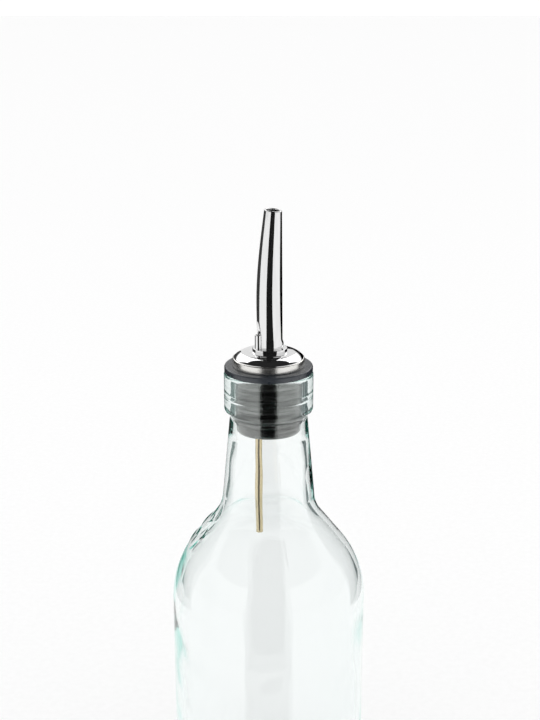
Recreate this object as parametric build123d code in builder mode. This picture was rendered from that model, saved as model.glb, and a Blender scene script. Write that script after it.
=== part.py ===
from build123d import *
import math
import os

os.makedirs("parts", exist_ok=True)

# Glass oil bottle with a steel pourer, standing on its foot.
# Origin: centre of the foot, on the table. +Z up, +X towards the pouring side. Millimetres.

# ---- bottle -------------------------------------------------------------------------------
bottle_height = 222.0          # foot to lip
body_radius = 35.8
glass_wall = 2.6               # body, shoulder and lower neck
finish_radius = 16.0           # thick ring round the mouth
finish_height = 13.2           # straight part of that ring
bore_radius = 12.2             # mouth and upper neck, inside
neck_top_radius = 14.0
neck_foot_radius = 16.8
neck_length = 48.0             # lip to the start of the shoulder
neck_sweep_radius = 15.0       # hollow curve from neck to shoulder
shoulder_angle = 38.0          # degrees from upright, at the straight between the two curves
shoulder_radius = 35.0         # full curve from shoulder to body
lip_round = 1.3
bore_round = 0.8
sprig_sink = 0.3               # the leaves' axes lie this far under the surface
heel_radius = 8.0
foot_ring_width = 4.0
punt_height = 4.5              # hollow under the base
base_thickness = 4.5

# ---- pourer -------------------------------------------------------------------------------
seal_radius = 15.8
seal_thickness = 2.1
seal_clearance = 0.05          # the steel plug turns in the rubber
plug_radius = bore_radius - 0.35
plug_depth = 22.0              # below the lip
sleeve_wall = 0.8
end_plate_thickness = 0.8
ring_radius = plug_radius + 0.95
ring_height = 2.95
dome_wall = 0.6
dome_height = 2.55             # rise above the ring
dome_edge_radius = ring_radius - 0.35
collar_rise = 0.8              # above the crown of the dome
collar_slope = 65.0            # degrees from upright, all round its upper part
collar_spout_margin = 1.7      # collar's foot beyond the spout, on the pouring side
collar_vent_margin = 0.9       # beyond the vent, on the other side
collar_side_margin = 1.5       # beyond the spout, front and back
spout_height = 57.9            # tip above the lip
spout_root_radius = 4.45       # half width of the oval root
spout_root_depth = 3.3         # half depth of it, front to back
spout_root_length = 3.4        # above the collar
spout_bead_rise = 0.4          # soft swelling of the root on the pouring side
bead_turn_radius = 2.6         # round this the bead fades into the oval's front and back
spout_full_radius = 4.54
spout_tip_radius = 3.08
spout_wall = 0.55
flow_radius = 2.55             # oil passage through the plug and the root
spout_side_x = 4.95            # the straight pouring side, at the root
spout_tip_slant = 6.0          # degrees
vent_offset = 4.01             # vent's axis to the axis of the spout's fullest part, along X
vent_y = -1.6                  # in front of the spout's axis
vent_dent_tilt = 14.0          # degrees; the dent in the spout runs out above the vent
vent_outer_radius = 1.25
vent_bore_radius = 0.9
vent_stub_height = 13.6        # top above the lip
vent_tube_depth = 62.4         # lower end below the lip
vent_tube_grip = 16.0          # length held in the plug core

# ---- heights and places that follow -------------------------------------------------------
lip_z = bottle_height
seal_top_z = lip_z + seal_thickness
ring_top_z = seal_top_z + ring_height
crown_z = ring_top_z + dome_height
collar_top_z = crown_z + collar_rise
collar_foot_z = crown_z - dome_wall - 0.6
plug_foot_z = lip_z - plug_depth
tip_z = lip_z + spout_height
spout_root_x = spout_side_x - spout_root_radius
flow_x = spout_side_x - spout_wall - flow_radius
vent_x = spout_side_x - spout_full_radius - vent_offset
collar_end_x = spout_side_x + collar_spout_margin
collar_start_x = vent_x - vent_outer_radius - collar_vent_margin
collar_length = collar_end_x - collar_start_x
collar_centre_x = (collar_end_x + collar_start_x) / 2
collar_width = 2 * (spout_root_depth + collar_side_margin)
tube_top_z = plug_foot_z + vent_tube_grip
vent_top_z = lip_z + vent_stub_height


# ---- bottle outline -----------------------------------------------------------------------
neck_top_z = lip_z - finish_height - 4.0
neck_foot_z = lip_z - neck_length
neck_angle = math.degrees(math.atan2(neck_foot_radius - neck_top_radius, neck_top_z - neck_foot_z))


def sin_deg(angle):
    return math.sin(math.radians(angle))


def cos_deg(angle):
    return math.cos(math.radians(angle))


def bend(start, from_angle, to_angle, radius):
    """Middle and end of an arc going down the outline. Angles are from upright, outwards."""
    points = []
    for angle in ((from_angle + to_angle) / 2, to_angle):
        r = start[0] + radius * (cos_deg(from_angle) - cos_deg(angle))
        z = start[1] - radius * (sin_deg(angle) - sin_deg(from_angle))
        points.append((r, z))
    return points


def inside(point, angle):
    """The point on the inner surface behind an outer one."""
    return (point[0] - glass_wall * cos_deg(angle), point[1] - glass_wall * sin_deg(angle))


def cap_middle(edge_radius, rise, top_z):
    """Point halfway out on a round cap that is level on the axis at top_z."""
    cap_radius = (edge_radius ** 2 + rise ** 2) / (2 * rise)
    r = edge_radius / 2
    return (r, top_z - cap_radius + math.sqrt(cap_radius ** 2 - r ** 2))


neck_foot = (neck_foot_radius, neck_foot_z)
sweep_middle, sweep_end = bend(neck_foot, neck_angle, shoulder_angle, neck_sweep_radius)
shoulder_start_r = body_radius - shoulder_radius * (1 - cos_deg(shoulder_angle))
shoulder_start_z = sweep_end[1] - (shoulder_start_r - sweep_end[0]) / math.tan(math.radians(shoulder_angle))
shoulder_start = (shoulder_start_r, shoulder_start_z)
shoulder_end = (body_radius, shoulder_start_z - shoulder_radius * sin_deg(shoulder_angle))
half_angle = shoulder_angle / 2
shoulder_middle = (
    body_radius - shoulder_radius * (1 - cos_deg(half_angle)),
    shoulder_end[1] + shoulder_radius * sin_deg(half_angle),
)

# two equal arcs carry the ring round the mouth down into the neck
ring_step = finish_radius - neck_top_radius
ring_turn = 2 * math.degrees(math.atan2(ring_step, 4.0))
ring_arc = 4.0 / (2 * sin_deg(ring_turn))
ring_foot_z = lip_z - finish_height


def ring_round(angle):
    """Point on the full arc at the foot of the ring."""
    r = finish_radius - ring_arc * (1 - cos_deg(angle))
    return (r, ring_foot_z - ring_arc * sin_deg(angle))


def ring_hollow(angle):
    """Point on the hollow arc below it."""
    r = neck_top_radius + ring_arc * (1 - cos_deg(angle))
    return (r, neck_top_z + ring_arc * sin_deg(angle))


foot_outer = body_radius - heel_radius
foot_inner = foot_outer - foot_ring_width
corner = 1 - math.sqrt(0.5)     # how far the middle of a quarter round stays off its corner
heel_corner = heel_radius * corner
floor_z = punt_height + base_thickness
inner_body = body_radius - glass_wall
inner_heel = heel_radius - glass_wall
floor_edge_r = inner_body - inner_heel
floor_edge_z = base_thickness + 0.6
inner_heel_corner = inner_heel * corner
bore_foot_z = plug_foot_z - 3.0


slope_half = math.dist(sweep_end, shoulder_start) / 2


def on_shoulder(along):
    """Point and angle of the outline, this far below the middle of the shoulder's straight."""
    if along < -slope_half:
        angle = shoulder_angle - math.degrees((-slope_half - along) / neck_sweep_radius)
        r = sweep_end[0] + neck_sweep_radius * (cos_deg(shoulder_angle) - cos_deg(angle))
        z = sweep_end[1] + neck_sweep_radius * (sin_deg(shoulder_angle) - sin_deg(angle))
        return r, z, angle
    if along > slope_half:
        angle = shoulder_angle - math.degrees((along - slope_half) / shoulder_radius)
        r = body_radius - shoulder_radius * (1 - cos_deg(angle))
        return r, shoulder_end[1] + shoulder_radius * sin_deg(angle), angle
    middle_r = (sweep_end[0] + shoulder_start[0]) / 2
    middle_z = (sweep_end[1] + shoulder_start[1]) / 2
    r = middle_r + along * sin_deg(shoulder_angle)
    return r, middle_z - along * cos_deg(shoulder_angle), shoulder_angle


def sprig_plane(along, across, turn):
    """Plane just under the shoulder near -X: x runs down the slope, z points out."""
    r, z, angle = on_shoulder(along)
    side = math.degrees(across / r)
    outward = Vector(-cos_deg(side), sin_deg(side), 0)
    slope = outward * sin_deg(angle) + Vector(0, 0, -cos_deg(angle))
    face = outward * cos_deg(angle) + Vector(0, 0, sin_deg(angle))
    origin = outward * r + Vector(0, 0, z) - face * sprig_sink
    return Plane(origin=origin, x_dir=slope, z_dir=face).rotated((0, 0, turn))


with BuildPart() as glass_bottle:
    with BuildSketch(Plane.XZ):
        with BuildLine():
            # under the base, foot ring and heel
            punt_middle = cap_middle(foot_inner, punt_height, punt_height)
            ThreePointArc((0, punt_height), punt_middle, (foot_inner, 0.0))
            Line((foot_inner, 0.0), (foot_outer, 0.0))
            ThreePointArc(
                (foot_outer, 0.0), (body_radius - heel_corner, heel_corner), (body_radius, heel_radius)
            )
            # body, shoulder and neck
            Line((body_radius, heel_radius), shoulder_end)
            ThreePointArc(shoulder_end, shoulder_middle, shoulder_start)
            Line(shoulder_start, sweep_end)
            ThreePointArc(sweep_end, sweep_middle, neck_foot)
            Line(neck_foot, (neck_top_radius, neck_top_z))
            # ring round the mouth
            ThreePointArc(ring_hollow(0), ring_hollow(ring_turn / 2), ring_hollow(ring_turn))
            ThreePointArc(ring_round(ring_turn), ring_round(ring_turn / 2), ring_round(0))
            Line((finish_radius, ring_foot_z), (finish_radius, lip_z - lip_round))
            ThreePointArc(
                (finish_radius, lip_z - lip_round),
                (finish_radius - lip_round * corner, lip_z - lip_round * corner),
                (finish_radius - lip_round, lip_z),
            )
            Line((finish_radius - lip_round, lip_z), (bore_radius + bore_round, lip_z))
            ThreePointArc(
                (bore_radius + bore_round, lip_z),
                (bore_radius + bore_round * corner, lip_z - bore_round * corner),
                (bore_radius, lip_z - bore_round),
            )
            # inside, back down to the floor
            Line((bore_radius, lip_z - bore_round), (bore_radius, bore_foot_z))
            Line((bore_radius, bore_foot_z), inside(neck_foot, neck_angle))
            ThreePointArc(
                inside(neck_foot, neck_angle),
                inside(sweep_middle, (neck_angle + shoulder_angle) / 2),
                inside(sweep_end, shoulder_angle),
            )
            Line(inside(sweep_end, shoulder_angle), inside(shoulder_start, shoulder_angle))
            ThreePointArc(
                inside(shoulder_start, shoulder_angle),
                inside(shoulder_middle, half_angle),
                inside(shoulder_end, 0),
            )
            Line(inside(shoulder_end, 0), (inner_body, floor_edge_z + inner_heel))
            ThreePointArc(
                (inner_body, floor_edge_z + inner_heel),
                (inner_body - inner_heel_corner, floor_edge_z + inner_heel_corner),
                (floor_edge_r, floor_edge_z),
            )
            ThreePointArc(
                (floor_edge_r, floor_edge_z),
                cap_middle(floor_edge_r, floor_z - floor_edge_z, floor_z),
                (0, floor_z),
            )
            Line((0, floor_z), (0, punt_height))
        make_face()
    revolve(axis=Axis.Z)
    # moulded sprig on the shoulder: an olive among five leaves, half sunk in the glass
    sprig = [
        (-8.0, 0.0, 0, 8.0, 1.4),
        (-2.5, -3.4, 24, 8.0, 1.5),
        (-2.5, 3.4, -24, 8.0, 1.5),
        (6.0, -3.9, 20, 8.0, 1.5),
        (6.0, 3.9, -20, 8.0, 1.5),
        (2.2, 0.0, 0, 6.0, 1.8),
    ]
    for along, across, turn, length, half_width in sprig:
        leaf_plane = sprig_plane(along, across, turn)
        with BuildSketch(leaf_plane):
            with BuildLine():
                ThreePointArc((-length / 2, 0), (0, half_width), (length / 2, 0))
                Line((length / 2, 0), (-length / 2, 0))
            make_face()
        revolve(axis=Axis(leaf_plane.origin, leaf_plane.x_dir))

# Rubber washer between the lip and the steel ring
with BuildPart() as neck_seal:
    with BuildSketch(Plane.XZ):
        with BuildLine():
            Polyline(
                (plug_radius + seal_clearance, lip_z),
                (seal_radius, lip_z),
                (seal_radius, seal_top_z - 0.7),
                (seal_radius - 0.6, seal_top_z),
                (plug_radius + seal_clearance, seal_top_z),
                close=True,
            )
        make_face()
    revolve(axis=Axis.Z)

# Turned tube that fills the mouth, with a fine groove near its foot
groove_z = plug_foot_z + 3.8
with BuildPart() as plug_sleeve:
    with BuildSketch(Plane.XZ):
        with BuildLine():
            Polyline(
                (plug_radius - sleeve_wall, plug_foot_z),
                (plug_radius - 0.5, plug_foot_z),
                (plug_radius, plug_foot_z + 0.9),
                (plug_radius, groove_z - 0.35),
                (plug_radius - 0.25, groove_z),
                (plug_radius, groove_z + 0.35),
                (plug_radius, ring_top_z),
                (plug_radius - sleeve_wall, ring_top_z),
                close=True,
            )
        make_face()
    revolve(axis=Axis.Z)

# Satin ring round the foot of the dome
with BuildPart() as base_ring:
    with BuildSketch(Plane.XZ):
        with BuildLine():
            Polyline((plug_radius, seal_top_z), (ring_radius - 0.2, seal_top_z))
            Line((ring_radius - 0.2, seal_top_z), (ring_radius, seal_top_z + 0.2))
            Line((ring_radius, seal_top_z + 0.2), (ring_radius, ring_top_z - 0.45))
            ThreePointArc(
                (ring_radius, ring_top_z - 0.45),
                (ring_radius - 0.45 * corner, ring_top_z - 0.45 * corner),
                (ring_radius - 0.45, ring_top_z),
            )
            Line((ring_radius - 0.45, ring_top_z), (plug_radius, ring_top_z))
            Line((plug_radius, ring_top_z), (plug_radius, seal_top_z))
        make_face()
    revolve(axis=Axis.Z)

# Pressed dome: a nearly flat crown turned down to its edge, open underneath
crown_edge_r = dome_edge_radius * 0.72
crown_fall = dome_height * 0.25
crown_edge = (crown_edge_r, crown_z - crown_fall)
with BuildPart() as dome_cap:
    with BuildSketch(Plane.XZ):
        with BuildLine():
            crown = ThreePointArc(
                (0, crown_z), cap_middle(crown_edge_r, crown_fall, crown_z), crown_edge
            )
            TangentArc(crown_edge, (dome_edge_radius, ring_top_z), tangent=crown % 1)
            Line((dome_edge_radius, ring_top_z), (dome_edge_radius - dome_wall, ring_top_z))
            inner_top_z = crown_z - dome_wall
            inner_edge = (crown_edge_r - 0.1, inner_top_z - crown_fall)
            crown_under = ThreePointArc(
                (0, inner_top_z), cap_middle(inner_edge[0], crown_fall, inner_top_z), inner_edge
            )
            TangentArc(inner_edge, (dome_edge_radius - dome_wall, ring_top_z), tangent=crown_under % 1)
            Line((0, inner_top_z), (0, crown_z))
        make_face()
    revolve(axis=Axis.Z)
    with BuildSketch(Plane.XY.offset(ring_top_z)):
        with Locations((collar_centre_x, 0)):
            SlotOverall(collar_length, collar_width)
    extrude(amount=dome_height + 1, mode=Mode.SUBTRACT)

# Collar brazed into the dome, holding the spout and the vent stub. Its upper part slopes in all round
slope_foot_z = crown_z - 0.1
with BuildPart() as tube_collar:
    with BuildSketch(Plane.XY.offset(collar_foot_z)):
        with Locations((collar_centre_x, 0)):
            SlotOverall(collar_length, collar_width)
    extrude(amount=slope_foot_z - collar_foot_z)
    with BuildSketch(Plane.XY.offset(slope_foot_z)):
        with Locations((collar_centre_x, 0)):
            SlotOverall(collar_length, collar_width)
    extrude(amount=collar_top_z - slope_foot_z, taper=collar_slope)
    with BuildSketch(Plane.XY.offset(collar_foot_z)):
        with Locations((spout_root_x, 0)):
            Ellipse(spout_root_radius, spout_root_depth)
        with Locations((vent_x, vent_y)):
            Circle(vent_outer_radius)
    extrude(amount=collar_top_z - collar_foot_z, mode=Mode.SUBTRACT)

# Spout: an oval root that grows round, then a taper to the tip; the pouring side stays almost straight
root_top_z = collar_top_z + spout_root_length
spout_length = tip_z - root_top_z
bead_back_x = spout_side_x - 0.2
bead_axis_x = spout_side_x - bead_turn_radius
spout_stations = [
    (0.00, spout_root_radius, spout_root_depth, 0),
    (0.38, spout_full_radius, spout_full_radius, 0),
    (0.69, spout_full_radius - 0.54, spout_full_radius - 0.54, 0),
    (1.00, spout_tip_radius, spout_tip_radius, spout_tip_slant),
]
bore_stations = [
    (0.00, flow_radius, 0),
    (0.38, spout_full_radius - spout_wall, 0),
    (0.69, spout_full_radius - 0.54 - spout_wall, 0),
    (1.00, spout_tip_radius - spout_wall, spout_tip_slant),
]


def spout_plane(share, half_width, tilt):
    """Plane of one section, this share of the way from the root to the tip. Its own y is along X."""
    centre = spout_side_x - 0.3 * share - half_width
    up = (sin_deg(tilt), 0, cos_deg(tilt))
    return Plane(origin=(centre, 0, root_top_z + share * spout_length), x_dir=(0, 1, 0), z_dir=up)


with BuildPart() as pour_spout:
    for share, half_width, half_depth, tilt in spout_stations:
        with BuildSketch(spout_plane(share, half_width, tilt)):
            Ellipse(half_depth, half_width)
    loft()
    # root below the swell, down into the collar
    with BuildSketch(Plane.XY.offset(collar_foot_z)):
        with Locations((spout_root_x, 0)):
            Ellipse(spout_root_radius, spout_root_depth)
    extrude(amount=root_top_z - collar_foot_z)
    # soft bead on the pouring side; its other half lies inside the root
    bead_middle_z = collar_top_z + spout_root_length / 2
    with BuildSketch(Plane.XZ):
        with BuildLine():
            ThreePointArc(
                (bead_back_x, collar_top_z),
                (spout_side_x + spout_bead_rise, bead_middle_z),
                (bead_back_x, root_top_z),
            )
            Line((bead_back_x, root_top_z), (bead_back_x, collar_top_z))
        make_face()
    revolve(axis=Axis((bead_axis_x, 0, 0), (0, 0, 1)))
    # the bore
    for share, bore, tilt in bore_stations:
        with BuildSketch(spout_plane(share, bore + spout_wall, tilt)):
            Circle(bore)
    loft(mode=Mode.SUBTRACT)
    with BuildSketch(Plane.XY.offset(collar_foot_z)):
        with Locations((flow_x, 0)):
            Circle(flow_radius)
    extrude(amount=root_top_z - collar_foot_z, mode=Mode.SUBTRACT)
    # dent that makes room for the vent and runs out above it
    with BuildSketch(Plane.XY.offset(collar_foot_z)):
        with Locations((vent_x, vent_y)):
            Circle(vent_outer_radius)
    extrude(amount=vent_top_z - collar_foot_z, mode=Mode.SUBTRACT)
    away = Vector(vent_x - spout_root_x, vent_y, 0).normalized()
    lean = away * sin_deg(vent_dent_tilt) + Vector(0, 0, cos_deg(vent_dent_tilt))
    with BuildSketch(Plane(origin=(vent_x, vent_y, vent_top_z), z_dir=lean)):
        Circle(vent_outer_radius)
    extrude(amount=12, mode=Mode.SUBTRACT)

# Short vent pipe standing beside the spout
with BuildPart() as vent_stub:
    with BuildSketch(Plane.XY.offset(collar_foot_z)):
        with Locations((vent_x, vent_y)):
            Circle(vent_outer_radius)
            Circle(vent_bore_radius, mode=Mode.SUBTRACT)
    extrude(amount=vent_top_z - collar_foot_z)

# Moulded core inside the sleeve: hub with both passages, two flanges and ribs
core_radius = plug_radius - sleeve_wall
core_foot_z = plug_foot_z + end_plate_thickness
core_top_z = ring_top_z - 0.6
flange = 2.0
with BuildPart() as plug_core:
    with BuildSketch(Plane.XY.offset(core_foot_z)):
        with Locations((collar_centre_x, 0)):
            SlotOverall(collar_length, collar_width)
    extrude(amount=collar_foot_z - core_foot_z)
    for flange_z in (core_foot_z, core_top_z - flange):
        with BuildSketch(Plane.XY.offset(flange_z)):
            Circle(core_radius)
        extrude(amount=flange)
    with BuildSketch(Plane.XY.offset(core_foot_z)):
        for rib_angle in (0, 60, 120):
            with Locations(Rotation(0, 0, rib_angle)):
                Rectangle(core_radius * 2 - 0.4, 1.3)
    extrude(amount=core_top_z - core_foot_z)
    with BuildSketch(Plane.XY.offset(core_foot_z)):
        with Locations((flow_x, 0)):
            Circle(flow_radius)
        with Locations((vent_x, vent_y)):
            Circle(vent_bore_radius)
    extrude(amount=collar_foot_z - core_foot_z, mode=Mode.SUBTRACT)
    with BuildSketch(Plane.XY.offset(core_foot_z)):
        with Locations((vent_x, vent_y)):
            Circle(vent_outer_radius)
    extrude(amount=tube_top_z - core_foot_z, mode=Mode.SUBTRACT)

# Disc closing the foot of the sleeve
with BuildPart() as plug_end_plate:
    with BuildSketch(Plane.XY.offset(plug_foot_z)):
        Circle(core_radius)
        with Locations((flow_x, 0)):
            Circle(flow_radius, mode=Mode.SUBTRACT)
        with Locations((vent_x, vent_y)):
            Circle(vent_outer_radius, mode=Mode.SUBTRACT)
    extrude(amount=end_plate_thickness)

# Long thin vent tube hanging into the bottle
with BuildPart() as vent_tube:
    with BuildSketch(Plane.XY.offset(lip_z - vent_tube_depth)):
        with Locations((vent_x, vent_y)):
            Circle(vent_outer_radius)
            Circle(vent_bore_radius, mode=Mode.SUBTRACT)
    extrude(amount=tube_top_z - lip_z + vent_tube_depth)

named_pieces = {
    "glass_bottle": glass_bottle,
    "neck_seal": neck_seal,
    "plug_sleeve": plug_sleeve,
    "plug_core": plug_core,
    "plug_end_plate": plug_end_plate,
    "base_ring": base_ring,
    "dome_cap": dome_cap,
    "tube_collar": tube_collar,
    "pour_spout": pour_spout,
    "vent_stub": vent_stub,
    "vent_tube": vent_tube,
}
for piece_name, piece in named_pieces.items():
    piece.part.label = piece_name
    export_step(piece.part, "parts/" + piece_name + ".step")
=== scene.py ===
import bmesh
import bpy
import math
import numpy as np
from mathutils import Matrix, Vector


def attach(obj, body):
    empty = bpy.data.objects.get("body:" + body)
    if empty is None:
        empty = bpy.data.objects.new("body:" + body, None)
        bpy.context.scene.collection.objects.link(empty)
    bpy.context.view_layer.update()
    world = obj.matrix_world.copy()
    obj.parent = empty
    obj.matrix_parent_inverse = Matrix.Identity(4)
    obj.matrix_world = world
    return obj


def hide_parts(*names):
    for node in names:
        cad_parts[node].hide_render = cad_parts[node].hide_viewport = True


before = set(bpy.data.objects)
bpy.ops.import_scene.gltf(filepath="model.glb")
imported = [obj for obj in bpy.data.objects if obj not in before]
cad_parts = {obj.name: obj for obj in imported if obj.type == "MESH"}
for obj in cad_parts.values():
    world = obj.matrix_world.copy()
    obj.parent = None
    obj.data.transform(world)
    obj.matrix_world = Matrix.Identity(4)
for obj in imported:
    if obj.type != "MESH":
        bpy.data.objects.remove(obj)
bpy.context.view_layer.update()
mm = 0.001
print("frame loaded")


# helpers for shapes; an outline is a list of radius and height in mm
def fullTurn(count):
    return np.linspace(0, 2 * math.pi, count, endpoint=False)


def arcPoints(centre, radius, startDeg, endDeg, steps):
    # angle 0 points outwards, 90 up
    turns = np.radians(np.linspace(startDeg, endDeg, steps + 1))
    return [(centre[0] + radius * math.cos(t), centre[1] + radius * math.sin(t)) for t in turns]


def capLine(edge, rise, topZ, count):
    # a shallow ball cap, from its edge to the middle
    ball = (edge ** 2 + rise ** 2) / (2 * rise)
    return [(r, topZ - ball + math.sqrt(ball ** 2 - r ** 2)) for r in np.linspace(edge, 0, count)]


def fillOut(points, step):
    # adds points along straights so that no span is longer than step, and drops doubles
    out = [points[0]]
    for a, b in zip(points, points[1:]):
        span = math.dist(a, b)
        if span < 1e-6:
            continue
        n = max(1, math.ceil(span / step))
        out += [(a[0] + (b[0] - a[0]) * i / n, a[1] + (b[1] - a[1]) * i / n) for i in range(1, n + 1)]
    return out


def ringFaces(rings, closed=True):
    # joins each ring of point numbers to the next; a ring of one point is a tip
    pairs = list(zip(rings, rings[1:]))
    if closed:
        pairs.append((rings[-1], rings[0]))
    faces = []
    for low, high in pairs:
        count = max(len(low), len(high))
        if count == 1:
            continue
        for i in range(count):
            j = (i + 1) % count
            if len(low) == 1:
                faces.append((low[0], high[j], high[i]))
            elif len(high) == 1:
                faces.append((low[i], low[j], high[0]))
            else:
                faces.append((low[i], low[j], high[j], high[i]))
    return faces


def meshPiece(name, verts, faces, body, replaced):
    # a smooth mesh from points in mm, with its faces turned outwards
    data = bpy.data.meshes.new(name)
    data.from_pydata([(x * mm, y * mm, z * mm) for x, y, z in verts], [], faces)
    data.validate()
    data.update()
    data.polygons.foreach_set("use_smooth", [True] * len(data.polygons))
    piece = bpy.data.objects.new(name, data)
    bpy.context.collection.objects.link(piece)
    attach(piece, body)
    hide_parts(*replaced)
    work = bmesh.new()
    work.from_mesh(data)
    bmesh.ops.recalc_face_normals(work, faces=work.faces)
    work.to_mesh(data)
    work.free()
    return piece


def turnedPiece(name, outline, body, replaced, segments, centreX=0.0, centreY=0.0):
    # a closed outline turned about an upright axis
    verts, rings = [], []
    for r, z in outline:
        rings.append(range(len(verts), len(verts) + segments))
        verts += [(centreX + r * math.cos(t), centreY + r * math.sin(t), z) for t in fullTurn(segments)]
    return meshPiece(name, verts, ringFaces(rings), body, replaced)


# helpers for materials
def newMaterial(name):
    material = bpy.data.materials.new(name)
    material.use_nodes = True
    nodes = material.node_tree.nodes
    return material, nodes, material.node_tree.links, nodes["Principled BSDF"]


def addNoise(nodes, links, scale, detail=3.0, stretch=(1, 1, 1), roughness=0.5):
    place = nodes.new("ShaderNodeTexCoord")
    squeeze = nodes.new("ShaderNodeMapping")
    squeeze.inputs["Scale"].default_value = stretch
    noise = nodes.new("ShaderNodeTexNoise")
    noise.inputs["Scale"].default_value = scale
    noise.inputs["Detail"].default_value = detail
    noise.inputs["Roughness"].default_value = roughness
    links.new(place.outputs["Object"], squeeze.inputs["Vector"])
    links.new(squeeze.outputs["Vector"], noise.inputs["Vector"])
    return noise.outputs["Fac"]


def addRough(nodes, links, source, shader, low, high):
    # the middle of the noise spreads the roughness from low to high
    spread = nodes.new("ShaderNodeMapRange")
    spread.inputs["From Min"].default_value = 0.3
    spread.inputs["From Max"].default_value = 0.7
    spread.inputs["To Min"].default_value = low
    spread.inputs["To Max"].default_value = high
    links.new(source, spread.inputs["Value"])
    links.new(spread.outputs["Result"], shader.inputs["Roughness"])


def addBump(nodes, links, source, shader, strength, distance):
    bump = nodes.new("ShaderNodeBump")
    bump.inputs["Strength"].default_value = strength
    bump.inputs["Distance"].default_value = distance
    links.new(source, bump.inputs["Height"])
    links.new(bump.outputs["Normal"], shader.inputs["Normal"])


def addTint(nodes, links, source, shader, darker, lighter):
    ramp = nodes.new("ShaderNodeValToRGB")
    for element, position, colour in zip(ramp.color_ramp.elements, (0.35, 0.65), (darker, lighter)):
        element.position = position
        element.color = (*colour, 1)
    links.new(source, ramp.inputs["Fac"])
    links.new(ramp.outputs["Color"], shader.inputs["Base Color"])


# the glass bottle
bottleShape = {
    "height": 222.0, "bodyRadius": 35.8, "wall": 2.6,
    "lipRound": 1.3, "boreRadius": 12.2, "boreRound": 0.8, "boreDepth": 25.0,
    "ringRadius": 16.0, "ringHeight": 13.2, "ringFall": 4.0,   # the fall curves in to the neck
    "lineDown": 8.6, "lineSide": [(0, 0.3), (0.07, 0.2), (0.2, 0.06)],   # mould line: depth, half height
    "neckTop": 14.0, "neckFoot": 16.8, "neckLength": 48.0, "sweep": 15.0,
    "shoulderAngle": 38.0, "shoulderRadius": 35.0,
    "heel": 8.0, "footRing": 4.0, "punt": 4.5, "base": 4.5, "floorRise": 0.6,
    "seamsAt": [-76, 104], "seamProud": 0.06, "seamWidth": 0.35, "seamFoot": 2.0,
    # slow swells of the inner wall: size, waves in a full turn, twist per mm of height, start
    "swells": [(0.22, 2, 0.045, 0.6), (-0.12, 3, -0.11, 2.0), (0.07, 2, 0.21, 0.0), (0.04, 5, 0.31, 1.1)],
    "calmTop": 8.0, "calmFoot": 14.0, "calmRise": 20.0,   # lengths over which they die away
    "segments": 288, "outerStep": 0.6, "innerStep": 1.2,
}

# moulded sprig on the left of the shoulder, over a soft pad
sprigShape = {
    # leaves: along the slope, across, turn, length, half width
    "leaves": [(-8.0, 0.0, 0, 8.0, 1.4), (-2.5, -3.4, 24, 8.0, 1.5), (-2.5, 3.4, -24, 8.0, 1.5),
               (6.0, -3.9, 20, 8.0, 1.5), (6.0, 3.9, -20, 8.0, 1.5), (2.2, 0.0, 0, 6.0, 1.8)],
    "sunk": 0.3, "relief": 0.3,
    "padProud": 0.8, "padShift": 0.5, "padLength": 8.5, "padWidth": 5.5,
    "fineDeg": 26, "fineSteps": 181,   # the mesh is finer this far to each side
}


def bottleLines(b):
    # outlines of the outside and the inside going down, and the two ends of the straight slope
    lip = b["height"]
    rise = math.radians(b["shoulderAngle"])
    ringFoot = lip - b["ringHeight"]
    neckTopZ = ringFoot - b["ringFall"]
    neckFootZ = lip - b["neckLength"]
    lean = math.atan2(b["neckFoot"] - b["neckTop"], neckTopZ - neckFootZ)

    outer = arcPoints((b["ringRadius"] - b["lipRound"], lip - b["lipRound"]), b["lipRound"], 90, 0, 8)
    lineZ = lip - b["lineDown"]
    outer += [(b["ringRadius"] - deep, lineZ + half) for deep, half in b["lineSide"]]
    outer += [(b["ringRadius"] - deep, lineZ - half) for deep, half in reversed(b["lineSide"])]
    # two equal arcs lead from the ring to the neck
    turn = 2 * math.atan2(b["ringRadius"] - b["neckTop"], b["ringFall"])
    small = b["ringFall"] / (2 * math.sin(turn))
    turnDeg = math.degrees(turn)
    outer += arcPoints((b["ringRadius"] - small, ringFoot), small, 0, -turnDeg, 8)
    outer += arcPoints((b["neckTop"] + small, neckTopZ), small, 180 - turnDeg, 180, 8)[1:]

    slope = []   # radius, height, angle of the wall from upright
    for a in np.linspace(lean, rise, 21):
        slope.append((b["neckFoot"] + b["sweep"] * (math.cos(lean) - math.cos(a)),
                      neckFootZ - b["sweep"] * (math.sin(a) - math.sin(lean)), a))
    slopeTop = slope[-1][:2]
    footR = b["bodyRadius"] - b["shoulderRadius"] * (1 - math.cos(rise))
    footZ = slopeTop[1] - (footR - slopeTop[0]) / math.tan(rise)
    for a in np.linspace(rise, 0, 33):
        slope.append((footR + b["shoulderRadius"] * (math.cos(a) - math.cos(rise)),
                      footZ - b["shoulderRadius"] * (math.sin(rise) - math.sin(a)), a))
    outer += [(r, z) for r, z, a in slope]
    heelR = b["bodyRadius"] - b["heel"]
    outer += arcPoints((heelR, b["heel"]), b["heel"], 0, -90, 14)
    outer += capLine(heelR - b["footRing"], b["punt"], b["punt"], 24)

    inner = arcPoints((b["boreRadius"] + b["boreRound"], lip - b["boreRound"]), b["boreRound"], 90, 180, 6)
    inner += [(b["boreRadius"], lip - b["boreDepth"])]
    inner += [(r - b["wall"] * math.cos(a), z - b["wall"] * math.sin(a)) for r, z, a in slope]
    innerHeel = b["heel"] - b["wall"]
    edgeZ = b["base"] + b["floorRise"]
    floorZ = b["punt"] + b["base"]
    inner += arcPoints((heelR, edgeZ + innerHeel), innerHeel, 0, -90, 10)
    inner += capLine(heelR, floorZ - edgeZ, floorZ, 20)
    return outer, inner, slopeTop, (footR, footZ)


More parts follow.
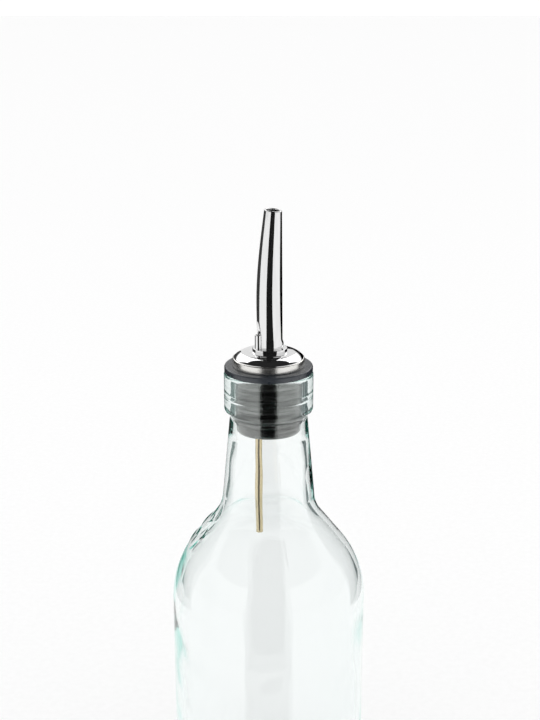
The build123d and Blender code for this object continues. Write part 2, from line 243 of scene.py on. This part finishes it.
def sprigHeight(along, across, s):
    # how far the sprig and its pad stand out of the shoulder here, mm
    best = np.zeros_like(along)
    for a0, c0, turn, length, half in s["leaves"]:
        t = math.radians(turn)
        u = (along - a0) * math.cos(t) + (across - c0) * math.sin(t)
        v = -(along - a0) * math.sin(t) + (across - c0) * math.cos(t)
        swell = np.clip(1 - (2 * u / length) ** 2, 0, None) * half
        best = np.maximum(best, np.sqrt(np.clip(swell ** 2 - v ** 2, 0, None)) - s["sunk"])
    pad = np.exp(-((along + s["padShift"]) / s["padLength"]) ** 2 - (across / s["padWidth"]) ** 2)
    return s["relief"] * best + s["padProud"] * pad


def makeBottle(b, s):
    outer, inner, slopeTop, slopeFoot = bottleLines(b)
    outer = fillOut(outer, b["outerStep"])
    inner = fillOut(inner, b["innerStep"])
    near = math.radians(s["fineDeg"])
    fine = np.linspace(math.pi - near, math.pi + near, s["fineSteps"])
    rest = np.linspace(math.pi + near, 3 * math.pi - near, b["segments"])[1:-1]
    angles = np.concatenate([fine, rest])
    # the outer line runs from the lip to the foot, the inner one is walked back up
    profile = np.array(outer + inner[::-1])
    isOuter = (np.arange(len(profile)) < len(outer))[:, None]
    r, z = profile[:, :1], profile[:, 1:]
    a = angles[None, :]
    lip = b["height"]
    rise = math.radians(b["shoulderAngle"])
    midR, midZ = (slopeTop[0] + slopeFoot[0]) / 2, (slopeTop[1] + slopeFoot[1]) / 2
    along = (r - midR) * math.sin(rise) - (z - midZ) * math.cos(rise)
    along, across = np.broadcast_arrays(along, -(a - math.pi) * midR)
    onShoulder = isOuter & (z > 0.6 * lip) & (z < lip - b["neckLength"])
    proud = np.where(onShoulder, sprigHeight(along, across, s), 0.0)
    # mould seams, a hair proud, front right and opposite
    seam = 0.0
    for seamAt in np.radians(b["seamsAt"]):
        off = (a - seamAt + math.pi) % (2 * math.pi) - math.pi
        seam = seam + b["seamProud"] * np.exp(-(off * r / b["seamWidth"]) ** 2)
    underRing = isOuter & (z < lip - b["ringHeight"] - b["ringFall"]) & (z > b["seamFoot"])
    seam = np.where(underRing, seam, 0.0)
    # the blown inside is never true; its swells die away under the bore and above the floor
    wander = sum(size * np.sin(waves * a + twist * z + start) for size, waves, twist, start in b["swells"])
    underBore = np.clip((lip - b["boreDepth"] - 1 - z) / b["calmTop"], 0, 1)
    overFloor = np.clip((z - b["calmFoot"]) / b["calmRise"], 0, 1)
    inside = np.where(isOuter, 0.0, wander * (underBore * overFloor))
    newR = r + proud * math.cos(rise) + seam + inside
    newR = np.where(isOuter, np.minimum(newR, b["bodyRadius"] + 0.02), newR)
    newZ = z + proud * math.sin(rise)
    verts, rings = [], []
    for i in range(len(profile)):
        if r[i, 0] < 1e-6:
            ring = [(0.0, 0.0, z[i, 0])]
        else:
            ring = list(zip(newR[i] * np.cos(angles), newR[i] * np.sin(angles), newZ[i]))
        rings.append(range(len(verts), len(verts) + len(ring)))
        verts += ring
    return meshPiece("glassBottle", verts, ringFaces(rings), "bottle", ["glass_bottle"])


glassBottle = makeBottle(bottleShape, sprigShape)
print("bottle made")


# the rubber seal on the lip
plugRadius = 11.85
sealShape = {"radius": 15.8, "thick": 2.1, "gap": 0.05, "footRound": 0.25, "topRound": 0.6, "topSink": 0.02}
lip = bottleShape["height"]
sealTop = lip + sealShape["thick"]


def sealLine(s):
    hole, foot, top = plugRadius + s["gap"], s["footRound"], s["topRound"]
    line = [(hole, lip), (s["radius"] - foot, lip)]
    line += arcPoints((s["radius"] - foot, lip + foot), foot, -90, 0, 4)
    line += [(s["radius"], sealTop - top - 0.1)]
    line += arcPoints((s["radius"] - top, sealTop - top - s["topSink"]), top, 5, 90, 8)
    line += [(hole, sealTop)]
    return fillOut(line, 0.5)


neckSeal = turnedPiece("neckSeal", sealLine(sealShape), "seal", ["neck_seal"], 200)

# the turned plug in the mouth, and the satin ring on the seal
plugShape = {
    "depth": 22.0, "wall": 0.8, "bevel": [(0.5, 0.0), (0.04, 0.84), (0.0, 0.95)],   # in and up from the foot
    "grooveUp": 3.8, "grooveSide": [(0, 0.26), (0.04, 0.2), (0.14, 0.04)],   # depth, half height
}
ringShape = {"over": 0.95, "height": 2.95, "footRound": 0.2, "topRound": 0.45}
plugFoot = lip - plugShape["depth"]
ringTop = sealTop + ringShape["height"]
ringRadius = plugRadius + ringShape["over"]


def sleeveLine(s):
    groove = plugFoot + s["grooveUp"]
    line = [(plugRadius - s["wall"], plugFoot)]
    line += [(plugRadius - deep, plugFoot + up) for deep, up in s["bevel"]]
    line += [(plugRadius - deep, groove - half) for deep, half in s["grooveSide"]]
    line += [(plugRadius - deep, groove + half) for deep, half in reversed(s["grooveSide"])]
    line += [(plugRadius, ringTop), (plugRadius - s["wall"], ringTop)]
    return fillOut(line, 1.0)


def ringLine(s):
    foot, top = s["footRound"], s["topRound"]
    line = [(plugRadius, sealTop), (ringRadius - foot, sealTop)]
    line += arcPoints((ringRadius - foot, sealTop + foot), foot, -90, 0, 4)
    line += arcPoints((ringRadius - top, ringTop - top), top, 0, 90, 8)
    line += [(plugRadius, ringTop)]
    return fillOut(line, 0.5)


plugSleeve = turnedPiece("plugSleeve", sleeveLine(plugShape), "pourer", ["plug_sleeve"], 200)
baseRing = turnedPiece("baseRing", ringLine(ringShape), "pourer", ["base_ring"], 220)

# the pressed dome, a nearly level crown that turns down to the edge
domeShape = {"height": 2.55, "wall": 0.6, "edgeIn": 0.35, "crownShare": 0.72, "crownFall": 0.25, "hole": 3.0}
crownZ = ringTop + domeShape["height"]


def domeLine(s, inset):
    # one side of the sheet, from the hole to the edge
    edge, height, topZ = ringRadius - s["edgeIn"] - inset, s["height"] - inset, crownZ - inset
    crownR, fall = edge * s["crownShare"], height * s["crownFall"]
    line = capLine(crownR, fall, topZ, 24)[::-1]
    lean = 2 * math.atan2(fall, crownR)
    across, drop = edge - crownR, height - fall
    turn = 2 * (math.atan2(drop, across) - lean)
    radius = math.hypot(across, drop) / (2 * math.sin(turn / 2))
    cx, cz = crownR - radius * math.sin(lean), topZ - fall - radius * math.cos(lean)
    for t in np.linspace(lean, lean + turn, 18)[1:]:
        line.append((cx + radius * math.sin(t), cz + radius * math.cos(t)))
    return [point for point in line if point[0] > s["hole"]]


domeSheet = domeLine(domeShape, 0.0) + domeLine(domeShape, domeShape["wall"])[::-1]
domeCap = turnedPiece("domeCap", domeSheet, "pourer", ["dome_cap"], 240)

# the collar round both pipes: a low plate with an upright rim, then a hollow of braze up to the pipes
collarShape = {
    "length": 12.4, "width": 9.6, "centreX": 0.45, "rise": 0.8, "sunk": 0.1, "foot": 0.6, "rim": 1.05,
    "hollowWidth": 1.3, "hollowTop": 0.25, "slope": 65, "webGap": 0.9, "webThick": 0.28, "segments": 160,
}
collarTop = crownZ + collarShape["rise"]
collarFoot = crownZ - domeShape["wall"] - collarShape["foot"]


def ovalRing(s, grow, z):
    # two half rounds joined by straights
    r, straight = s["width"] / 2 + grow, (s["length"] - s["width"]) / 2
    ring = []
    for t in fullTurn(s["segments"]):
        side = np.sign(round(math.cos(t), 9))
        ring.append((s["centreX"] + side * straight + r * math.cos(t), r * math.sin(t), z))
    return ring


def makeCollar(s):
    low = crownZ - s["sunk"]
    edge = low + s["rim"]
    top = collarTop + s["hollowTop"]
    inwards = (s["rise"] + s["sunk"]) * math.tan(math.radians(s["slope"])) + s["webGap"]
    # how far out of the outline, and height
    levels = [(0.0, collarFoot), (0.0, low), (0.0, low + 0.3), (0.0, low + 0.6), (0.0, edge - 0.12),
              (-0.03, edge - 0.04), (-0.1, edge)]
    for share in np.linspace(0.1, 1, 12):
        levels.append((-0.1 - s["hollowWidth"] * share, edge + (top - edge) * share ** 3))
    levels += [(0.55 - inwards, top + 0.01), (-inwards, top), (-inwards, collarFoot)]
    # a level web closes the collar between the two pipes
    webLevels = [(-inwards, top - 0.02), (-inwards, top - 0.02 - s["webThick"])]
    verts, rings = [], []
    for grow, z in levels + webLevels:
        rings.append(range(len(verts), len(verts) + s["segments"]))
        verts += ovalRing(s, grow, z)
    wall, web = rings[:-2], rings[-2:]
    faces = ringFaces(wall) + ringFaces(web, closed=False) + [tuple(web[0]), tuple(reversed(web[1]))]
    return meshPiece("tubeCollar", verts, faces, "pourer", ["tube_collar"])


tubeCollar = makeCollar(collarShape)

# the vent: a stub beside the spout, and a long thin tube under the plug
ventShape = {"x": -3.6, "y": -1.6, "radius": 1.25, "bore": 0.9, "edge": 0.08,
             "top": 13.6, "foot": 62.4, "grip": 16.0}   # above the lip, below the lip, held in the plug
ventTop = lip + ventShape["top"]

# the spout; each station has a share of the way up, half width, half depth and bore radius
spoutShape = {
    "sideX": 4.95, "sideLean": 0.3, "tipHeight": 57.9, "tipSlant": 6.0, "wall": 0.55,
    "rimRound": 0.12, "rimRise": 0.06, "flowRadius": 2.55,
    "rootWide": 4.45, "rootDeep": 3.3, "rootLength": 3.4, "beadRise": 0.4, "beadShare": 0.98,
    "share": [0.0, 0.38, 0.69, 1.0], "wide": [4.45, 4.54, 4.0, 3.08],
    "deep": [3.3, 4.54, 4.0, 3.08], "bore": [2.55, 3.99, 3.45, 2.53],
    "dentTilt": 14, "dentGap": 0.03, "dentEase": 0.18, "dentReach": 12, "segments": 240,
}


def smoothThrough(xs, ys, at):
    # natural cubic curve through a few stations
    xs, ys = np.asarray(xs, float), np.asarray(ys, float)
    n = len(xs)
    h = np.diff(xs)
    rows = np.zeros((n, n))
    rhs = np.zeros(n)
    rows[0, 0] = rows[-1, -1] = 1
    for i in range(1, n - 1):
        rows[i, i - 1], rows[i, i], rows[i, i + 1] = h[i - 1], 2 * (h[i - 1] + h[i]), h[i]
        rhs[i] = 6 * ((ys[i + 1] - ys[i]) / h[i] - (ys[i] - ys[i - 1]) / h[i - 1])
    m = np.linalg.solve(rows, rhs)
    k = np.clip(np.searchsorted(xs, at) - 1, 0, n - 2)
    t = at - xs[k]
    return float(ys[k] + t * ((ys[k + 1] - ys[k]) / h[k] - h[k] * (2 * m[k] + m[k + 1]) / 6)
                 + m[k] / 2 * t ** 2 + (m[k + 1] - m[k]) / (6 * h[k]) * t ** 3)


def spoutSections(s):
    # going up: height, share, half width, half depth, bore, bead
    rootTop = collarTop + s["rootLength"]
    root = (0.0, s["rootWide"], s["rootDeep"], s["flowRadius"])
    sections = [(collarFoot, *root, 0.0)]
    for part in np.linspace(0, 1, 30):
        bead = s["beadRise"] * (0.5 - 0.5 * math.cos(2 * math.pi * part))
        sections.append((collarTop + part * s["rootLength"] * s["beadShare"], *root, bead))
    length = lip + s["tipHeight"] - rootTop
    for share in np.linspace(0, 1, 110):
        wide, deep, bore = [smoothThrough(s["share"], s[key], share) for key in ("wide", "deep", "bore")]
        sections.append((rootTop + share * length, share, wide, deep, bore, 0.0))
    return sections


def dented(x, y, z, cx, s):
    # pulls a point in along its ray until it clears the vent; above the vent the dent runs out
    away = math.hypot(ventShape["x"] - cx, ventShape["y"])
    shift = max(0.0, z - ventTop) * math.tan(math.radians(s["dentTilt"]))
    holeX, holeY = (ventShape["x"] - cx) * (1 + shift / away), ventShape["y"] * (1 + shift / away)
    reach = math.hypot(x - cx, y)
    ux, uy = (x - cx) / reach, y / reach
    along = holeX * ux + holeY * uy
    aside = holeX ** 2 + holeY ** 2 - along ** 2
    hole = ventShape["radius"] + s["dentGap"]
    if along <= 0 or aside >= hole ** 2:
        return x, y
    near = along - math.sqrt(hole ** 2 - aside)
    pulled = min(reach, near)
    # the edge of the dent is eased, as pressed metal is
    soft = s["dentEase"] - abs(reach - near)
    if soft > 0:
        pulled -= soft ** 2 / (4 * s["dentEase"])
    return cx + ux * pulled, uy * pulled


def makeSpout(s):
    sections = spoutSections(s)
    slant = math.tan(math.radians(s["tipSlant"]))
    verts, rings = [], []

    def addRing(cx, wide, deep, z, share, bead=0.0, dent=False):
        # the last part leans into the slanted cut
        lean = share ** 6 * slant
        rings.append(range(len(verts), len(verts) + s["segments"]))
        for t in fullTurn(s["segments"]):
            # the bead is on the pouring side only
            x, y = cx + wide * math.cos(t) + bead * max(0.0, math.cos(t)) ** 3, deep * math.sin(t)
            if dent:
                x, y = dented(x, y, z, cx, s)
            verts.append((x, y, z - lean * (x - cx)))

    for z, share, wide, deep, bore, bead in sections:
        cx = s["sideX"] - s["sideLean"] * share - wide
        addRing(cx, wide, deep, z, share, bead, z < ventTop + s["dentReach"])
    # rounded rim at the tip
    z, share, wide = sections[-1][:3]
    cx = s["sideX"] - s["sideLean"] * share - wide
    for inset in (s["rimRound"], s["wall"] - s["rimRound"]):
        addRing(cx, wide - inset, wide - inset, z + s["rimRise"], share)
    for z, share, wide, deep, bore, bead in reversed(sections):
        cx = s["sideX"] - s["sideLean"] * share - s["wall"] - bore
        addRing(cx, bore, bore, z, share)
    return meshPiece("pourSpout", verts, ringFaces(rings), "pourer", ["pour_spout"])


pourSpout = makeSpout(spoutShape)


def pipeLine(s, foot, top, step):
    r, bore, edge = s["radius"], s["bore"], s["edge"]
    line = [(r - edge, foot), (r, foot + edge), (r, top - edge), (r - edge, top),
            (bore + edge, top), (bore, top - edge), (bore, foot + edge), (bore + edge, foot)]
    return fillOut(line, step)


stubLine = pipeLine(ventShape, collarFoot, ventTop, 0.4)
ventStub = turnedPiece("ventStub", stubLine, "pourer", ["vent_stub"], 64,
                       ventShape["x"], ventShape["y"])
tubeLine = pipeLine(ventShape, lip - ventShape["foot"], plugFoot + ventShape["grip"], 3.0)
ventTube = turnedPiece("ventTube", tubeLine, "pourer", ["vent_tube"], 64,
                       ventShape["x"], ventShape["y"])
print("pourer made")

# finishes; bump is a strength and a distance in metres
glassLook = {"ior": 1.51, "tint": (0.38, 0.87, 0.79), "density": 12, "ripple": 60, "bump": (0.25, 0.0006),
             "cloud": 400, "rough": (0.0, 0.02)}
rubberLook = {"ior": 1.65, "tints": [(0.016, 0.020, 0.026), (0.030, 0.037, 0.047)], "grain": 2600,
              "bump": (0.35, 0.00006), "wear": 500, "rough": (0.24, 0.36)}
coreLook = {"tints": [(0.66, 0.66, 0.64), (0.74, 0.74, 0.72)], "grain": 900, "bump": (0.2, 0.00005),
            "rough": 0.5}
# the stretched noise gives upright streaks, or level rings from the lathe
steelLooks = {
    "polishedSteel": {"colour": (0.84, 0.84, 0.84), "spread": 0.04, "rough": (0.03, 0.07), "turned": 0.0,
                      "scale": 900, "stretch": (1, 1, 0.08), "bump": (0.05, 0.00002)},
    "satinSteel": {"colour": (0.84, 0.83, 0.80), "spread": 0.04, "rough": (0.2, 0.28), "turned": 0.3,
                   "scale": 5000, "stretch": (0.05, 0.05, 1), "bump": (0.15, 0.00002)},
    "turnedSteel": {"colour": (0.195, 0.199, 0.192), "spread": 0.5, "rough": (0.14, 0.24), "turned": 0.4,
                    "scale": 1100, "stretch": (0.03, 0.03, 1), "bump": (0.5, 0.00005)},
    "paleBrass": {"colour": (0.74, 0.62, 0.40), "spread": 0.04, "rough": (0.14, 0.24), "turned": 0.0,
                  "scale": 1500, "stretch": (1, 1, 0.05), "bump": (0.2, 0.00003)},
}


def glassFinish(look):
    material, nodes, links, shader = newMaterial("clearGlass")
    shader.inputs["Base Color"].default_value = (1, 1, 1, 1)
    shader.inputs["Transmission Weight"].default_value = 1.0
    shader.inputs["IOR"].default_value = look["ior"]
    ripple = addNoise(nodes, links, look["ripple"], 2.0, (1, 1, 0.6))
    addBump(nodes, links, ripple, shader, *look["bump"])
    cloud = addNoise(nodes, links, look["cloud"], 4.0)
    addRough(nodes, links, cloud, shader, *look["rough"])
    depth = nodes.new("ShaderNodeVolumeAbsorption")
    depth.inputs["Color"].default_value = (*look["tint"], 1)
    depth.inputs["Density"].default_value = look["density"]
    links.new(depth.outputs["Volume"], nodes["Material Output"].inputs["Volume"])
    return material


def rubberFinish(look):
    material, nodes, links, shader = newMaterial("sealRubber")
    shader.inputs["IOR"].default_value = look["ior"]
    grain = addNoise(nodes, links, look["grain"])
    addTint(nodes, links, grain, shader, *look["tints"])
    addBump(nodes, links, grain, shader, *look["bump"])
    wear = addNoise(nodes, links, look["wear"])
    addRough(nodes, links, wear, shader, *look["rough"])
    return material


def coreFinish(look):
    material, nodes, links, shader = newMaterial("mouldedCore")
    shader.inputs["Roughness"].default_value = look["rough"]
    grain = addNoise(nodes, links, look["grain"])
    addTint(nodes, links, grain, shader, *look["tints"])
    addBump(nodes, links, grain, shader, *look["bump"])
    return material


def steelFinish(name):
    look = steelLooks[name]
    material, nodes, links, shader = newMaterial(name)
    shader.inputs["Metallic"].default_value = 1.0
    if look["turned"]:
        # the lathe's marks run round the piece, so highlights smear up and down
        shader.inputs["Anisotropic"].default_value = look["turned"]
        roundAxis = nodes.new("ShaderNodeTangent")
        roundAxis.direction_type = "RADIAL"
        roundAxis.axis = "Z"
        links.new(roundAxis.outputs["Tangent"], shader.inputs["Tangent"])
    lines = addNoise(nodes, links, look["scale"], 4.0, look["stretch"], 0.6)
    dark = [c * (1 - look["spread"]) for c in look["colour"]]
    light = [min(1, c * (1 + look["spread"])) for c in look["colour"]]
    addTint(nodes, links, lines, shader, dark, light)
    addRough(nodes, links, lines, shader, *look["rough"])
    addBump(nodes, links, lines, shader, *look["bump"])
    return material


clearGlass = glassFinish(glassLook)
sealRubber = rubberFinish(rubberLook)
mouldedCore = coreFinish(coreLook)
polishedSteel = steelFinish("polishedSteel")
satinSteel = steelFinish("satinSteel")
turnedSteel = steelFinish("turnedSteel")
paleBrass = steelFinish("paleBrass")

for piece, material in ((glassBottle, clearGlass), (neckSeal, sealRubber), (plugSleeve, turnedSteel),
                        (baseRing, satinSteel), (domeCap, polishedSteel), (tubeCollar, polishedSteel),
                        (pourSpout, polishedSteel), (ventStub, polishedSteel), (ventTube, paleBrass)):
    piece.data.materials.append(material)
# the two hidden pieces keep their own meshes
for node, material in (("plug_core", mouldedCore), ("plug_end_plate", turnedSteel)):
    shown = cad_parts[node]
    if not shown.material_slots:
        shown.data.materials.append(material)
    for place in shown.material_slots:
        place.material = material
print("finishes made")

# studio
studio = {
    "lens": 66.5, "sensor": 36, "pitch": 17.8, "distance": 473.0, "aimX": 0.5, "aimZ": 225.8,
    "floorSize": 12.0, "paper": [(0.93, 0.93, 0.93), (0.95, 0.95, 0.95)],
    "worldStrength": 1.06, "darkTone": 0.02,
    # the dark room: overhead above this angle, and in front above a lower height; each pair is a soft edge
    "backdropTop": 30, "backdropEdge": (-0.02, 0.05), "frontHeight": (0.46, 0.54), "frontSide": (-0.25, 0.0),
    "palerInGlass": 0.6, "backdropDim": 0.2,
    "bounces": 64, "clearBounces": 16,
}

half = studio["floorSize"] / 2
floorData = bpy.data.meshes.new("studioFloor")
floorCorners = [(-half, -half, 0), (half, -half, 0), (half, half, 0), (-half, half, 0)]
floorData.from_pydata(floorCorners, [], [(0, 1, 2, 3)])
studioFloor = bpy.data.objects.new("studioFloor", floorData)
bpy.context.collection.objects.link(studioFloor)
floorMaterial, nodes, links, shader = newMaterial("studioFloor")
addTint(nodes, links, addNoise(nodes, links, 300), shader, *studio["paper"])
shader.inputs["Roughness"].default_value = 0.9
shader.inputs["Specular IOR Level"].default_value = 0.1
floorData.materials.append(floorMaterial)

# dark cards, in metres; start and end give the angle from straight behind, to the right, and the distance
cardFoot = 0.003
standingCards = {
    "frontCard": {"start": (154, 0.69), "end": (206, 0.69), "top": 1.4, "shade": (0.012, 0.012, 0.012),
                  "seenBy": {"onlyReflected": True}},
    "rightCard": {"start": (3, 0.45), "end": (74, 0.40), "top": 0.32, "shade": (0.0, 0.0, 0.0),
                  "seenBy": {"inGlass": False}},
    "leftCard": {"start": (-11, 0.45), "end": (-83, 0.40), "top": 0.33, "shade": (0.05, 0.05, 0.05),
                 "seenBy": {"inGlass": False}},
    "glassRight": {"start": (36, 0.45), "end": (70, 0.45), "top": 0.5, "shade": (0.12, 0.15, 0.15),
                   "seenBy": {"inMetal": False}},
    "glassLeft": {"start": (-42, 0.45), "end": (-70, 0.45), "top": 0.5, "shade": (0.20, 0.25, 0.24),
                  "seenBy": {"inMetal": False}},
}
tableCard = {"near": (0.05, -0.10), "far": (0.31, -0.64), "shade": (0.012, 0.012, 0.012)}   # half width and y


def darkCard(name, corners, shade, inMetal=True, inGlass=True, onlyReflected=False):
    # a dark flag that the camera never sees, only metal or glass
    data = bpy.data.meshes.new(name)
    data.from_pydata(corners, [], [(0, 1, 2, 3)])
    card = bpy.data.objects.new(name, data)
    bpy.context.collection.objects.link(card)
    material, nodes, links, shader = newMaterial(name)
    shader.inputs["Base Color"].default_value = (*shade, 1)
    shader.inputs["Roughness"].default_value = 1.0
    shader.inputs["Specular IOR Level"].default_value = 0.0
    if onlyReflected:
        # clear to light that came straight through the glass, so the bottle stays clear from behind
        seen = nodes.new("ShaderNodeLightPath")
        clear = nodes.new("ShaderNodeBsdfTransparent")
        either = nodes.new("ShaderNodeMixShader")
        links.new(seen.outputs["Glossy Depth"], either.inputs["Fac"])
        links.new(clear.outputs["BSDF"], either.inputs[1])
        links.new(shader.outputs["BSDF"], either.inputs[2])
        links.new(either.outputs["Shader"], nodes["Material Output"].inputs["Surface"])
    data.materials.append(material)
    card.visible_camera = False
    card.visible_diffuse = False
    card.visible_shadow = False
    card.visible_glossy = inMetal
    card.visible_transmission = inGlass


for name, card in standingCards.items():
    (ax, ay), (bx, by) = [(away * math.sin(math.radians(turn)), away * math.cos(math.radians(turn)))
                          for turn, away in (card["start"], card["end"])]
    corners = [(ax, ay, cardFoot), (bx, by, cardFoot), (bx, by, card["top"]), (ax, ay, card["top"])]
    darkCard(name, corners, card["shade"], **card["seenBy"])

(nearX, nearY), (farX, farY) = tableCard["near"], tableCard["far"]
darkCard("tableCard", [(-nearX, nearY, cardFoot), (nearX, nearY, cardFoot), (farX, farY, cardFoot),
                       (-farX, farY, cardFoot)], tableCard["shade"], onlyReflected=True)

# white room for the camera and the soft fill; polished metal also sees the dark room above and in front
world = bpy.data.worlds.new("softRoom")
bpy.context.scene.world = world
world.use_nodes = True
worldNodes, worldLinks = world.node_tree.nodes, world.node_tree.links
back = worldNodes["Background"]
back.inputs["Strength"].default_value = studio["worldStrength"]
around = worldNodes.new("ShaderNodeTexCoord")
parts = worldNodes.new("ShaderNodeSeparateXYZ")
worldLinks.new(around.outputs["Generated"], parts.inputs["Vector"])


def worldRange(source, low, high):
    step = worldNodes.new("ShaderNodeMapRange")
    step.interpolation_type = "SMOOTHSTEP"
    step.inputs["From Min"].default_value = low
    step.inputs["From Max"].default_value = high
    worldLinks.new(source, step.inputs["Value"])
    return step.outputs["Result"]


def worldMath(kind, first, second):
    step = worldNodes.new("ShaderNodeMath")
    step.operation = kind
    for socket, value in zip(step.inputs, (first, second)):
        if isinstance(value, (int, float)):
            socket.default_value = value
        else:
            worldLinks.new(value, socket)
    return step.outputs["Value"]


front = worldRange(worldMath("MULTIPLY", parts.outputs["Y"], -1.0), *studio["frontSide"])
above = worldRange(parts.outputs["Z"], *studio["frontHeight"])
backdropTop = math.sin(math.radians(studio["backdropTop"]))
overhead = worldRange(parts.outputs["Z"], *[backdropTop + step for step in studio["backdropEdge"]])
dark = worldMath("MAXIMUM", worldMath("MULTIPLY", front, above), overhead)
# the camera and the soft fill see none of it, and the glass sees it paler
path = worldNodes.new("ShaderNodeLightPath")
plain = worldMath("MAXIMUM", path.outputs["Is Camera Ray"], path.outputs["Is Diffuse Ray"])
dark = worldMath("MULTIPLY", dark, worldMath("SUBTRACT", 1.0, plain))
paler = worldMath("MULTIPLY", path.outputs["Is Transmission Ray"], studio["palerInGlass"])
dark = worldMath("MULTIPLY", dark, worldMath("SUBTRACT", 1.0, paler))
dark = worldMath("MAXIMUM", dark, worldMath("MULTIPLY", path.outputs["Is Glossy Ray"], studio["backdropDim"]))
tone = worldNodes.new("ShaderNodeMix")
tone.data_type = "RGBA"
tone.inputs["A"].default_value = (1, 1, 1, 1)
tone.inputs["B"].default_value = (*[studio["darkTone"]] * 3, 1)
worldLinks.new(dark, tone.inputs["Factor"])
worldLinks.new(tone.outputs["Result"], back.inputs["Color"])

# two softboxes above and behind, which light the metal and the glass but not the paper
softbox = {"aside": 0.52, "behind": 0.75, "up": 0.95, "aim": (0, 0, 0.2), "size": (0.85, 0.75), "power": 3.4}


def addSoftbox(name, side, box):
    data = bpy.data.lights.new(name, "AREA")
    data.shape = "RECTANGLE"
    data.size, data.size_y = box["size"]
    data.energy = box["power"]
    lamp = bpy.data.objects.new(name, data)
    place = Vector((side * box["aside"], box["behind"], box["up"]))
    lamp.location = place
    lamp.rotation_euler = (Vector(box["aim"]) - place).to_track_quat("-Z", "Y").to_euler()
    lamp.visible_diffuse = False
    bpy.context.collection.objects.link(lamp)


addSoftbox("leftSoftbox", -1, softbox)
addSoftbox("rightSoftbox", 1, softbox)

cameraData = bpy.data.cameras.new("camera")
cameraData.lens = studio["lens"]
cameraData.sensor_width = studio["sensor"]
cameraData.clip_start = 0.01
camera = bpy.data.objects.new("camera", cameraData)
pitch = math.radians(studio["pitch"])
camera.location = (studio["aimX"] * mm, -studio["distance"] * math.cos(pitch) * mm,
                   (studio["aimZ"] + studio["distance"] * math.sin(pitch)) * mm)
camera.rotation_euler = (math.pi / 2 - pitch, 0, 0)
bpy.context.collection.objects.link(camera)
scene = bpy.context.scene
scene.camera = camera
scene.view_settings.view_transform = "Standard"
# the thick glass passes light along its wall many times
scene.cycles.max_bounces = studio["bounces"]
scene.cycles.transmission_bounces = studio["bounces"]
scene.cycles.glossy_bounces = studio["bounces"]
scene.cycles.transparent_max_bounces = studio["clearBounces"]
print("studio made")
